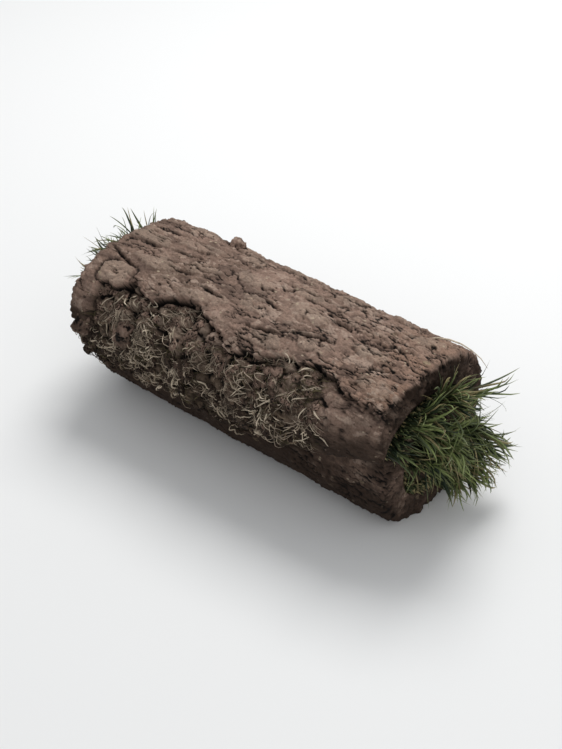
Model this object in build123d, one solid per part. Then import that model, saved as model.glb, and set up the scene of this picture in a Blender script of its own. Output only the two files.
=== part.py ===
from build123d import *
from math import ceil, cos, pi, sin
import os

# A roll of turf: one strip of soil, bound by its roots, wound up with its grass side inwards.
# The roll lies on its side along X. +X is the end where the grass shows best, -Y is the side
# where the strip's outer end is torn, and +Z is up. The origin is under the middle of the roll.

# The strip, in millimetres
strip_width = 325  # as the strip was cut, which is the length of the roll
soil_thickness = 24
sward_thickness = 10  # grass pressed between one turn and the next
sward_clearance = 0.3  # from the grass to the soil on each side of it
sward_short = 0.01  # turns by which it ends before the soil at both ends of the strip

# The winding, in turns counted from +Y over the top, and in millimetres
eye_radius = 6  # hollow that the first turn leaves
first_turn = 0.28  # where the blunt inner end of the strip lies
last_turn = 2.54  # where the torn outer end lies at its longest
thinning_turns = 0.15  # how far before its end the strip starts to thin
lip_share = 0.3  # part of its thickness that the strip keeps at the torn end
box_power = 3.2  # 2 is a round roll, and more is one squeezed square by its neighbours
squat = 0.97  # height for width, from the roll's own weight
underside_sag = 2.0  # pressed flat where the roll lies

# The worn rims at both ends
rim_round = 6
rim_margin = 1.0  # from the soil's face to the blank that carries the rims
step_sharpness = 8  # how late that blank comes in to where it began

# The torn outer end, broken away in patches along the roll. From here on, places along the
# winding are given as turns back from the strip's longest end, so they move with it.
patches = 13
tear_back = 0.175  # where the soil has broken away from its roots
tear_wander = 0.013  # how far that line strays, in turns
first_tear_back = 0.1  # where it lies in the first patch at -X, which held longer
tear_share = 0.22  # part of the thickness that is gone beyond it
tear_unevenness = 0.06  # more or less of it from patch to patch
whole_end = 0.3  # part of that depth that is left at the +X end, where the soil holds
early_end = 0.1  # how many turns sooner the strip ends at +X
early_from = 0.1  # where that starts, for 0 in the middle and 1 at the end
end_wander = 0.006  # how far the end strays between patches, in turns

# The main lumps: place along the roll from -1 to 1, turns back, width, height and spin in degrees
clods = (
    (-0.79, 0.195, 27, 11, 10),
    (-0.93, 0.088, 27, 15, 80),
    (-0.64, 0.108, 24, 10, 8),
    (-0.05, 0.172, 14, 12, 30),
    (0.07, 0.174, 11, 11, 65),
    (-0.5, 0.39, 15, 12, 20),
)
clod_depth = 0.8  # for its width
clod_bevel = 0.28  # of its height
clod_sink = 0.2  # of its height
clod_tilt = 6  # degrees

# The main cracks on top: place along the roll and turns back of one end, then of the other
cracks = (
    (-0.98, 0.238, -0.74, 0.217),
    (-0.87, 0.278, -0.74, 0.278),
    (-0.68, 0.287, -0.47, 0.301),
    (0.0, 0.313, 0.1, 0.33),
    (0.1, 0.33, 0.29, 0.338),
    (0.34, 0.233, 0.52, 0.256),
    (0.55, 0.383, 0.78, 0.378),
    (0.65, 0.226, 0.89, 0.25),
    (0.63, 0.287, 0.88, 0.307),
    (-0.62, 0.389, -0.33, 0.363),
    (-0.33, 0.363, -0.17, 0.366),
    (-0.36, 0.241, -0.14, 0.231),
    (0.05, 0.21, 0.25, 0.221),
    (0.18, 0.387, 0.44, 0.37),
    (0.36, 0.301, 0.53, 0.289),
    (-0.92, 0.328, -0.69, 0.338),
    (-0.07, 0.274, 0.14, 0.263),
    (-0.58, 0.245, -0.43, 0.252),
)
crack_width = 2.4
crack_depth = 3.2

# Flat flakes that have come up on top
flakes = 22
golden = 0.618  # of the roll's length from one flake to the next, so that they never line up
flake_reach = 0.9  # of the half length
flake_far_back = 0.425  # where they start on the far side
flake_near_back = 0.195  # where they end, just before the tear
flake_width = 42
flake_depth = 18
flake_corners = 7
flake_skew = 0.3  # how far a corner strays round the outline, for the space it has
flake_unevenness = 0.22  # how far a corner strays in or out, for its reach
flake_spin = 12  # degrees
flake_height = 5
flake_rise = 1.6  # how much of that stands over the face

# Lumps held by the roots on the torn part, in rows
lump_patches = range(2, 10)
lump_backs = (0.143, 0.104, 0.066)
lump_width = 17
lump_height = 8.5
lump_sway = 0.3  # how far one strays along the roll, for the width of its patch
lump_wander = 0.007  # how far it strays along the winding, in turns
lump_unevenness = 0.2  # more or less of its width
lump_spin = 50  # degrees

# The grass that sticks out at the ends
stubble = 4  # as far as the pressed sward itself comes out
tuft_length = 30  # from there to the tips
tuft_spacing = 15  # along the winding
tuft_start = 0.3  # turns from the inner end to the first tuft
tuft_root = 0.8  # width of a tuft's root for the space it has
tuft_inset = 0.3  # where a root starts and ends, as shares of the sward's thickness
tuft_outset = 0.9
tuft_tip = 0.25  # width of a tip for the width of its root
tuft_lean = 7  # how far the tips lean outwards
tuft_lean_unevenness = 0.4
tuft_length_unevenness = 0.2
tuft_sway = 6  # how far they stray from side to side

# How closely the winding is followed
arcs_per_turn = 18
slope_reach = 0.01  # turns to each side, over which the face's slope is taken

# Worked out from the above
pitch = soil_thickness + sward_thickness
roll_radius = eye_radius + pitch * last_turn
half_length = strip_width / 2
patch_width = strip_width / patches
beyond = 2 * roll_radius  # past any edge of the roll


def stray(*steps):
    """An uneven share from -1 to 1. The steps mean nothing by themselves: they only differ, so
    that each thing in a row strays its own way, and the same way every time."""
    return sin(sum(steps))


def place(turn, radius):
    """A point of the section, (y, z): rounder near the heart, squarer outside."""
    power = 2 + (box_power - 2) * (radius / roll_radius) ** 2
    across, up = cos(2 * pi * turn), sin(2 * pi * turn)
    corner = (abs(across) ** power + abs(up) ** power) ** (-1 / power)
    return radius * corner * across, radius * corner * up * squat


def inside(turn):
    """Radius of what the strip lies on: the eye, or the soil face of the turn below."""
    return eye_radius if turn < 1 else soil_face(turn - 1)


def thickness(turn, early=0):
    """Soil and grass together, which grow from the inner end and thin out at the outer one."""
    end = min(max((turn + early - last_turn + thinning_turns) / thinning_turns, 0), 1)
    return pitch * min(turn, 1) * (1 - (1 - lip_share) * end**1.5)


def soil_face(turn):
    return inside(turn) + thickness(turn)


def grass_face(turn):
    return inside(turn) + thickness(turn) * sward_thickness / pitch


def torn_face(turn, early, gone):
    """What is left of the soil beyond the tear."""
    return grass_face(turn) + thickness(turn, early) * (soil_thickness / pitch - gone)


def bare_face(turn):
    """Just clear of the turn below, past the strip's end."""
    return inside(turn) + sward_clearance / 2


def blank_face(turn):
    return soil_face(turn) + rim_round


def sward_low(turn):
    return inside(turn) + sward_clearance


def sward_high(turn):
    return grass_face(turn) - sward_clearance


def curve(start, stop, radius_at, *details):
    """A smooth line of arcs along the winding."""
    count = ceil((stop - start) * arcs_per_turn)
    turns = [start + (stop - start) * step / (2 * count) for step in range(2 * count + 1)]
    points = [place(turn, radius_at(turn, *details)) for turn in turns]
    return [ThreePointArc(*points[index : index + 3]) for index in range(0, 2 * count, 2)]


def along_roll(face, left, right):
    return extrude(Plane.YZ.offset(left) * face, right - left)


def strip(start, stop, inner, outer, reach):
    """A layer of the winding, as far as the reach on both sides."""
    low, high = curve(start, stop, inner), curve(start, stop, outer)
    ends = [Line(low[0] @ 0, high[0] @ 0), Line(low[-1] @ 1, high[-1] @ 1)]
    return along_roll(make_face(low + high + ends), -reach, reach)


def patch(number):
    """Where a patch begins and how it is torn: its tear, what is gone and how soon it ends."""
    left = -half_length + number * patch_width
    hold = max(((left + patch_width / 2) / half_length - early_from) / (1 - early_from), 0)
    tear = last_turn - first_tear_back
    if number:
        tear = last_turn - tear_back + tear_wander * stray(2.3 * number, 1)
    uneven = stray(2.9 * (number + 1))
    gone = (tear_share + tear_unevenness * uneven) * (1 - (1 - whole_end) * hold**2)
    return left, tear, gone, early_end * hold + end_wander * (1 + uneven)


def torn_away():
    """What has broken off the strip's outer end, patch by patch along the roll."""
    over = last_turn + sward_short
    pieces = []
    for number in range(patches):
        left, tear, gone, early = patch(number)
        stop = last_turn - early
        torn = curve(tear, stop, torn_face, early, gone)
        bare = curve(stop, over, bare_face)
        blank = curve(tear, over, blank_face)
        steps = [Line(torn[-1] @ 1, bare[0] @ 0), Line(bare[-1] @ 1, blank[-1] @ 1)]
        face = make_face([*torn, *bare, *blank, *steps, Line(torn[0] @ 0, blank[0] @ 0)])
        reach = beyond if number == patches - 1 else left + patch_width
        pieces.append(along_roll(face, -beyond if number == 0 else left, reach))
    return pieces


def outwards(turn, radius):
    """The direction straight out of the winding."""
    before, after = place(turn - slope_reach, radius), place(turn + slope_reach, radius)
    return Vector(0, after[1] - before[1], before[0] - after[0])


def on_face(along, turn, radius):
    return Vector(along * half_length, *place(turn, radius))


def flake(number):
    """One that has come up a little from the top face, with its own uneven outline."""
    along = flake_reach * (2 * (golden * (number + 1) % 1) - 1)
    share = (number + 0.5) / flakes
    turn = last_turn - flake_far_back + (flake_far_back - flake_near_back) * share
    radius = soil_face(turn)
    seat_plane = Plane(on_face(along, turn, radius), (1, 0, 0), outwards(turn, radius))
    corners = []
    for corner in range(flake_corners):
        skewed = corner + flake_skew * stray(2.1 * corner, 5 * number)
        angle = 2 * pi * skewed / flake_corners
        reach = (1 + flake_unevenness * stray(4.3 * corner, 3.1 * number)) / 2
        corners.append((flake_width * reach * cos(angle), flake_depth * reach * sin(angle)))
    plate = extrude(make_face(Polyline(*corners, close=True)), flake_height)
    plate = chamfer(plate.edges().group_by(Axis.Z)[-1], flake_rise / 2)
    spin = Rot(0, 0, flake_spin * stray(3.7 * number))
    return seat_plane * Pos(0, 0, flake_rise - flake_height) * spin * plate


def root_lumps():
    """Lumps on the torn part: where they are, how large and how they are turned."""
    found = []
    for number in lump_patches:
        for row, row_back in enumerate(lump_backs):
            sway = lump_sway * stray(5.3 * number, 4.1 * row)
            along = (patch(number)[0] + patch_width * (0.5 + sway)) / half_length
            back = row_back - lump_wander * stray(3.1 * number, 2.3 * row)
            width = lump_width * (1 + lump_unevenness * stray(7.7 * number, row))
            spin = lump_spin * stray(4.7 * number, 2 * row)
            found.append((along, back, width, lump_height, spin))
    return found


def clod(along, back, width, height, spin):
    """A lump of soil that hangs on by its roots, sunk into the face."""
    turn = last_turn - back
    radius = soil_face(turn)
    if back < tear_back:
        gone, early = patch(int((along + 1) * half_length / patch_width))[2:]
        radius = torn_face(turn, early, gone)
    seat_plane = Plane(on_face(along, turn, radius), (1, 0, 0), outwards(turn, radius))
    block = Box(width, width * clod_depth, height)
    block = chamfer(block.edges(), height * clod_bevel)
    return seat_plane * Pos(0, 0, -clod_sink * height) * Rot(0, clod_tilt, spin) * block


def crack(along, back, far_along, far_back):
    """A slot in the soil from one place to another, as deep as it stands clear of the face."""
    turn, far_turn = last_turn - back, last_turn - far_back
    start = on_face(along, turn, soil_face(turn))
    stop = on_face(far_along, far_turn, soil_face(far_turn))
    middle_turn = (turn + far_turn) / 2
    middle = on_face((along + far_along) / 2, middle_turn, soil_face(middle_turn))
    line = stop - start
    slot_plane = Plane(middle, line, outwards(middle_turn, soil_face(middle_turn)))
    return slot_plane * Box(line.length, crack_width, 2 * crack_depth)


def worn_envelope():
    """The roll's outside with its end rims worn round."""
    start = last_turn - 1
    step_height = soil_face(last_turn) - soil_face(start)

    def outside(turn):
        closing = (turn - start) ** step_sharpness
        return soil_face(turn) + rim_margin - closing * step_height

    face = make_face(curve(start, last_turn, outside))
    body = along_roll(face, -half_length, half_length)
    ends = body.edges().group_by(Axis.X)
    return fillet(ends[0] + ends[-1], rim_round)


def tuft(turn, number):
    """One pointed tuft of blades on the end of the sward, leaning its own way."""
    root_reach = half_length + stubble
    half_turn = tuft_spacing * tuft_root / (2 * pi * soil_face(turn)) / 2
    middle = (sward_low(turn) + sward_high(turn)) / 2
    root = []
    for side, share in ((-1, tuft_inset), (1, tuft_inset), (1, tuft_outset), (-1, tuft_outset)):
        edge = turn + side * half_turn
        low, high = sward_low(edge), sward_high(edge)
        root.append(Vector(root_reach, *place(edge, low + (high - low) * share)))
    centre = Vector(root_reach, *place(turn, middle))
    tip_turn = turn + tuft_sway * stray(2.4 * number) / (2 * pi * middle)
    lean = tuft_lean * (1 - tuft_lean_unevenness * (1 - stray(3.9 * number)))
    length = tuft_length * (1 - tuft_length_unevenness * (1 - stray(5.1 * number)))
    tip_centre = Vector(root_reach + length, *place(tip_turn, middle + lean))
    tip = [tip_centre + (corner - centre) * tuft_tip for corner in root]
    around = [0, 1, 2, 3, 0]
    sides = [[root[a], root[b], tip[b], tip[a]] for a, b in zip(around, around[1:])]
    faces = [make_face([Polyline(*corners, close=True)]) for corners in (root, tip, *sides)]
    return Solid(Shell([item.face() for item in faces]))


def grass_band():
    """The sward between the turns, with tufts past both ends."""
    start, stop = first_turn + sward_short, last_turn - sward_short
    reach = half_length + stubble
    band = strip(start, stop, sward_low, sward_high, reach)
    tufts = []
    turn = start + tuft_start
    while turn < stop - thinning_turns:
        tufts.append(tuft(turn, len(tufts)))
        turn += tuft_spacing / (2 * pi * soil_face(turn))
    return band + tufts + [mirror(item, Plane.YZ) for item in tufts]


broken = torn_away()
soil = strip(first_turn, last_turn, grass_face, soil_face, half_length) & worn_envelope()
soil = soil - broken + [flake(number) for number in range(flakes)]
soil = soil - [crack(*line) for line in cracks]
soil = soil + [clod(*lump) for lump in (*clods, *root_lumps())]
grass = grass_band() - broken

roll_box = soil.bounding_box()
floor_height = roll_box.min.Z + underside_sag
ground = Pos(0, 0, floor_height - beyond) * Box(2 * strip_width, 2 * beyond, 2 * beyond)
soil = soil - ground
seat = Pos(0, -(roll_box.min.Y + roll_box.max.Y) / 2, -floor_height)

os.makedirs("parts", exist_ok=True)
export_step(seat * soil, "parts/soil_mat.step")
export_step(seat * grass, "parts/grass.step")
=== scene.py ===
import math

import bmesh
import bpy
import numpy as np
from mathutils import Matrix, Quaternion, Vector


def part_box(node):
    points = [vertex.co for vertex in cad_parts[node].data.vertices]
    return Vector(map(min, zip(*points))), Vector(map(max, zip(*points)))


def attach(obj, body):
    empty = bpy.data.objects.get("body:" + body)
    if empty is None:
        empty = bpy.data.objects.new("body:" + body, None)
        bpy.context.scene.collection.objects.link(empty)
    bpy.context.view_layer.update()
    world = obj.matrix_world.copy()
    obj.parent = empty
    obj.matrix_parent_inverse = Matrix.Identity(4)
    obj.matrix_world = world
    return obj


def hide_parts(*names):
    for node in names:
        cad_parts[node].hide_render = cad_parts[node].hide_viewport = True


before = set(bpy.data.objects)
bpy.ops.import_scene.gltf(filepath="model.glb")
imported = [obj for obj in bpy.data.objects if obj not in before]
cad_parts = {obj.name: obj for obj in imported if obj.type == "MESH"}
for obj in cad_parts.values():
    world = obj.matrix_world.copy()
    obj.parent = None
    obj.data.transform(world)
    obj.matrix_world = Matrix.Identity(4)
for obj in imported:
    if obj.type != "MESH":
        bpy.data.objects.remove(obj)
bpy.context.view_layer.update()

# The looks of a roll of turf: cracked soil outside, its outer end torn down to the roots on the
# -Y side, and grass pressed between the turns and bursting out at both ends, most at +X.
# Shapes are in millimetres until make_mesh, and materials and lamps are in metres.

METRE = 0.001
rng = np.random.default_rng(7)

# The camera, from the middle of the winding, and its aim, from the origin
CAMERA_X, CAMERA_Y, CAMERA_Z = 645.8, -737.4, 730.8
CAMERA_AIM = (12, 0, 68)
CAMERA_LEAN = -0.76  # degrees
LENS = 92

# The winding, as in the construction
STRIP_WIDTH = 325
SOIL = 24
SWARD = 10
EYE_RADIUS = 6
FIRST_TURN = 0.28
LAST_TURN = 2.54
THINNING_TURNS = 0.15  # over which the outer end gets thinner
LIP_SHARE = 0.3  # of the thickness, left at that end
BOX_POWER = 3.2  # of the outside, where 2 would be round and more is squarer
SQUAT = 0.97
SAG = 2.0  # how far the underside is pressed flat
RIM = 6
PITCH = SOIL + SWARD
ROLL_RADIUS = EYE_RADIUS + PITCH * LAST_TURN
HALF = STRIP_WIDTH / 2

# The torn end: where the outer soil stops, as x and the y of the break on the roll's shoulder
TEAR_LINE = ((-163, -60), (-140, -62), (-120, -61), (-106, -47), (-94, -54), (-78, -59), (-66, -46),
             (-38, -43), (-8, -55), (14, -63), (30, -60), (48, -54), (68, -47), (90, -45), (107, -48),
             (125, -54), (146, -57), (163, -60))
TEAR_SHARE = 0.22  # of the strip's thickness
WHOLE_END = 0.3  # part of that which is left at +X
EARLY_END = 0.1  # turns by which the strip ends sooner at +X
EARLY_FROM = 0.1  # share of the way to +X where that starts

PATCHES = 13
FIRST_TEAR = 2.44  # turn at which the first patch at -X breaks, which held longer
TEAR_UNEVENNESS = 0.06  # more or less of it from patch to patch

# The main lumps: place along the roll from -1 to 1, turn, width, height and spin in degrees
CLODS = ((-0.93, 2.452, 27, 15, 80), (-0.64, 2.432, 24, 10, 8), (-0.05, 2.368, 14, 12, 30),
         (0.07, 2.366, 11, 11, 65), (-0.5, 2.15, 15, 12, 20))
PLATE = (-0.79, 2.345, 31, 24, -8)  # a loose flat one: place, turn, width, depth and spin
PLATE_RISE = 2.6
CLOD_SINK = 0.2  # of its height

# The main cracks on top: place along the roll and turn of one end, then of the other, and depths
CRACKS = ((-0.98, 2.302, -0.74, 2.323), (-0.87, 2.262, -0.74, 2.262), (-0.68, 2.253, -0.47, 2.239),
          (0.0, 2.227, 0.1, 2.21), (0.1, 2.21, 0.29, 2.202), (0.34, 2.307, 0.52, 2.284),
          (0.55, 2.157, 0.78, 2.162), (0.65, 2.314, 0.89, 2.29), (0.63, 2.253, 0.88, 2.233),
          (-0.62, 2.151, -0.33, 2.177), (-0.33, 2.177, -0.17, 2.174), (-0.36, 2.299, -0.14, 2.309),
          (0.05, 2.33, 0.25, 2.319), (0.18, 2.153, 0.44, 2.17), (0.36, 2.239, 0.53, 2.251),
          (-0.92, 2.212, -0.69, 2.202), (-0.07, 2.266, 0.14, 2.277), (-0.58, 2.295, -0.43, 2.288))
CRACK_DEPTH = 3.2
LONG_CRACK_DEPTH = 1.7
FLAKE_CRACK_DEPTH = 0.7
RELIEF = 1.9  # the most that the rest of the face stands up or lies low

# Flat flakes that stand up on top, and lumps on the torn part, as in the construction
GOLDEN = 0.618  # spreads the flakes along the roll
FLAKES = 22
FLAKE_WIDTH = 42
FLAKE_DEPTH = 18
FLAKE_CORNERS = 7
FLAKE_RISE = 1.6
FLAKE_REACH = 0.9
FLAKE_FROM = 2.115
FLAKE_TO = 2.345
FLAKE_SKEW = 0.3
FLAKE_UNEVENNESS = 0.22
FLAKE_SPIN = 12  # degrees
LUMP_PATCHES = range(2, 10)
LUMP_TURNS = (2.397, 2.436, 2.474)
LUMP_WIDTH = 17
LUMP_HEIGHT = 8.5
LUMP_PROUD = 0.33  # of its height
LUMP_SWAY = 0.3
LUMP_WANDER = 0.007
LUMP_UNEVENNESS = 0.2
LUMP_SPIN = 50  # degrees

# The damp, crumbly far shoulder: turns and x where it fades in, and where it fades out
SHOULDER_TURNS = (2.03, 2.1, 2.15, 2.2)
SHOULDER_X = (-140, -90, 10, 80)

# The grass past the ends
GRASS_REACH = 44  # from the soil's end to the furthest tips
GRASS_MIDDLE = 82  # its height over the floor, with how far blades stray to the sides and up
GRASS_ASIDE = 84
GRASS_UP = 64
BARE_BACK = (38, 70)  # y and z past which no long blades are rooted
BARE_FRONT = 37  # height, at y 0, of the line under which none are either
FRONT_SLOPE = 1.2  # of that line, which climbs to the front
FAN_HEIGHT = (96, 116)  # between which blades come to fan out over the rim
LOW_HEIGHT = (85, 45)  # over that slope, where they get shorter and hang inwards
FREE_FROM = -9  # from the soil's end: blades start to go their own way here, and are free there
FREE_TO = 3
EASE = 6  # distance over which blades are held back at their furthest, and aside
EASE_ASIDE = 8
# name, end, clumps, blades in each, least and most reach, half width, share gone dry, brightest
GRASS = (("grass_front", 1, 64, 12, (44, 80), (0.7, 1.5), 0.16, 1),
         ("grass_front_short", 1, 90, 15, (16, 36), (0.6, 1.2), 0.1, 0.3),
         ("grass_front_stubble", 1, 220, 10, (5, 12), (0.5, 1.0), 0.45, 0.3),
         ("grass_back", -1, 44, 12, (32, 56), (0.7, 1.4), 0.16, 1),
         ("grass_back_short", -1, 70, 14, (14, 32), (0.6, 1.2), 0.1, 0.35),
         ("grass_back_stubble", -1, 220, 10, (5, 12), (0.5, 1.0), 0.45, 0.3))


# Noise: the same numbers each time, from the place alone. A seed only picks the pattern, and each
# use has its own.

def hashed(column, row, seed):
    """A random number from 0 to 1 for each whole-number place. The big numbers mix its bits."""
    mixed = column.astype(np.int64) * 374761393 + row.astype(np.int64) * 668265263 + seed * 9746347
    mixed = (mixed ^ (mixed >> 13)) * 1274126177
    mixed = mixed ^ (mixed >> 16)
    return (mixed & 0xFFFFFF) / float(0xFFFFFF)


def hills(x, y, seed):
    """Soft hills from about -1 to 1, one or so to a unit square."""
    left, low = np.floor(x), np.floor(y)
    across, up = x - left, y - low
    total = 0
    for right in (0, 1):
        for top in (0, 1):
            angle = 2 * np.pi * hashed(left + right, low + top, seed)
            slope = np.cos(angle) * (across - right) + np.sin(angle) * (up - top)
            near_x = across if right else 1 - across
            near_y = up if top else 1 - up
            total += slope * near_x**2 * (3 - 2 * near_x) * near_y**2 * (3 - 2 * near_y)
    return 1.6 * total


def fractal(x, y, seed, octaves=4):
    """Hills with smaller hills on them, about -1 to 1."""
    total, size, reach = 0, 1.0, 0
    for octave in range(octaves):
        total += size * hills(x, y, seed + 31 * octave)
        reach += size
        size *= 0.55
        x, y = 1.6 * x - 1.2 * y, 1.2 * x + 1.6 * y
    return total / reach * 1.5


def cells(x, y, seed):
    """Scattered cells: distance to the middle, to the edge, and a random number for each."""
    near = second = np.full(x.shape, 9.0)
    number = np.zeros(x.shape)
    for step_x in (-1, 0, 1):
        for step_y in (-1, 0, 1):
            column, row = np.floor(x) + step_x, np.floor(y) + step_y
            middle_x = column + 0.5 + 0.9 * (hashed(column, row, seed) - 0.5)
            middle_y = row + 0.5 + 0.9 * (hashed(column, row, seed + 1) - 0.5)
            distance = np.hypot(middle_x - x, middle_y - y)
            closer = distance < near
            second = np.where(closer, near, np.minimum(second, distance))
            number = np.where(closer, hashed(column, row, seed + 2), number)
            near = np.where(closer, distance, near)
    return near, second - near, number


def ramp(value, start, stop):
    """0 before start, 1 after stop, and smooth between."""
    share = np.clip((value - start) / (stop - start), 0, 1)
    return share * share * (3 - 2 * share)


def terraces(value, sharpness):
    """The same hills cut into flat steps."""
    level = np.floor(value)
    return level + ramp(value - level, 1 - sharpness, 1)


class Spots:
    """Places on the soil face, as x along the roll and s along the strip, with noise over them."""

    def __init__(self, x, s):
        self.x, self.s = x, s

    def hills(self, wide, deep, seed):
        return hills(self.x / wide, self.s / deep, seed)

    def fractal(self, wide, deep, seed, octaves=4):
        return fractal(self.x / wide, self.s / deep, seed, octaves)

    def cells(self, wide, deep, seed):
        return cells(self.x / wide, self.s / deep, seed)

    def off_line(self, value):
        """Millimetres to the line where a field of hills over them crosses zero."""
        slope = np.hypot(np.gradient(value, axis=1) / np.gradient(self.x, axis=1),
                         np.gradient(value, axis=0) / np.gradient(self.s, axis=0))
        return np.abs(value) / np.maximum(slope, 0.012)

    def off(self, x, turn, degrees):
        """How far they are from one place, across and up a shape that is turned there."""
        off_x, off_s = self.x - x, self.s - length_at(turn)
        spin = math.radians(degrees)
        return (off_x * math.cos(spin) + off_s * math.sin(spin),
                off_s * math.cos(spin) - off_x * math.sin(spin))


# The winding's section

def thickness(turn):
    end = np.clip((turn - LAST_TURN + THINNING_TURNS) / THINNING_TURNS, 0, 1)
    return PITCH * np.clip(turn, 0, 1) * (1 - (1 - LIP_SHARE) * end**1.5)


def inside(turn):
    return EYE_RADIUS + thickness(turn - 1) * (turn >= 1) + thickness(turn - 2) * (turn >= 2)


def soil_face(turn):
    return inside(turn) + thickness(turn)


def grass_face(turn):
    return inside(turn) + thickness(turn) * SWARD / PITCH


def hold(x):
    """0 where the soil is torn, and up to 1 at +X, where most of it holds."""
    return np.clip((x / HALF - EARLY_FROM) / (1 - EARLY_FROM), 0, 1)


def section(turn, radius):
    """The y and z of a point of the winding, before it is moved to its seat."""
    power = 2 + (BOX_POWER - 2) * (radius / ROLL_RADIUS) ** 2
    across, up = np.cos(2 * np.pi * turn), np.sin(2 * np.pi * turn)
    corner = (np.abs(across) ** power + np.abs(up) ** power) ** (-1 / power)
    return radius * corner * across, radius * corner * up * SQUAT


# The far side and the underside are plain faces of the winding, so they give its seat
around = np.linspace(LAST_TURN - 1, LAST_TURN, 4000)
outline_y, outline_z = section(around, soil_face(around))
SEAT_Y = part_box("soil_mat")[1][1] / METRE - outline_y.max()
SEAT_Z = -outline_z.min() - SAG


def place(x, turn, radius):
    """Points of the roll in the frame, never under the surface that it lies on."""
    y, z = section(turn, radius)
    x = np.broadcast_to(x, y.shape)
    return np.stack([x, y + SEAT_Y, np.maximum(z + SEAT_Z, 0)], axis=-1)


def keep_over(points, height):
    """Raises points that are lower over the floor than a height."""
    points[..., 2] = np.maximum(points[..., 2], height)


# Meshes

def new_object(name, data):
    item = bpy.data.objects.new(name, data)
    bpy.context.scene.collection.objects.link(item)
    return item


def make_mesh(name, points, faces, material, slot, node, **attributes):
    """A piece of the roll, with a number at each point for every attribute."""
    mesh = bpy.data.meshes.new(name)
    mesh.from_pydata((points.reshape(-1, 3) * METRE).tolist(), [], faces)
    for key, values in attributes.items():
        layer = mesh.attributes.new(key, "FLOAT", "POINT")
        layer.data.foreach_set("value", np.asarray(values, dtype=np.float32).ravel())
    mesh.shade_smooth()
    mesh.materials.append(material)
    piece = new_object(name, mesh)
    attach(piece, "root")
    if node:
        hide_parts(node)


def grid_faces(rows, columns):
    """Quads between the points of a grid whose rows are loops."""
    row = np.arange(rows - 1)[:, None]
    column = np.arange(columns)[None, :]
    beside = (column + 1) % columns
    corners = [row * columns + column, (row + 1) * columns + column,
               (row + 1) * columns + beside, row * columns + beside]
    return np.stack(corners, axis=-1).reshape(-1, 4)


def tube_faces(rows, columns):
    """The faces of a closed tube: its sides, and a face over each end."""
    last = range((rows - 1) * columns, rows * columns)
    return grid_faces(rows, columns).tolist() + [list(range(columns)), list(last)[::-1]]


def unit(vectors):
    return vectors / np.maximum(np.linalg.norm(vectors, axis=-1, keepdims=True), 1e-9)


# Sections of strands, in half widths, and how strands taper from root to tip
BLADE = ((-1, 0.12), (0, -0.4), (1, 0.12))
ROUND = ((1, 0), (-0.5, 0.87), (-0.5, -0.87))
BLADE_TAPER = (0.7, 0.85, 0.95, 1, 1, 0.92, 0.8, 0.62, 0.38, 0.06)
ROOT_TAPER = (0.6, 0.9, 1, 1, 0.85, 0.6, 0.25)
ALONG_ROLL = np.array([1.0, 0, 0])


def strands(paths, across, outline):
    """Closed thin bodies along paths. across is each point's half width, and outline the section
    in half widths, to the strand's own side and up."""
    count, length, _ = paths.shape
    along = unit(np.gradient(paths, axis=1))
    side = unit(np.cross(along, rng.normal(size=(count, 1, 3))))
    up = np.cross(side, along)
    outline = np.array(outline, dtype=float)
    sides = len(outline)
    rings = (paths[:, :, None, :]
             + side[:, :, None, :] * outline[:, 0, None] * across[:, :, None, None]
             + up[:, :, None, :] * outline[:, 1, None] * across[:, :, None, None])
    start = (np.arange(count) * length * sides)[:, None, None]
    faces = (grid_faces(length, sides)[None] + start).reshape(-1, 4).tolist()
    caps = np.arange(sides)[None, :] + start[:, 0]
    faces += caps.tolist()
    faces += (caps + (length - 1) * sides)[:, ::-1].tolist()
    return rings, faces


# Materials

def srgb(red, green, blue):
    """A colour given as it looks on screen, from 0 to 255, in the units that shaders use."""
    parts = [value / 255 for value in (red, green, blue)]
    linear = [part / 12.92 if part <= 0.04045 else ((part + 0.055) / 1.055) ** 2.4 for part in parts]
    return (*linear, 1.0)


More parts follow.
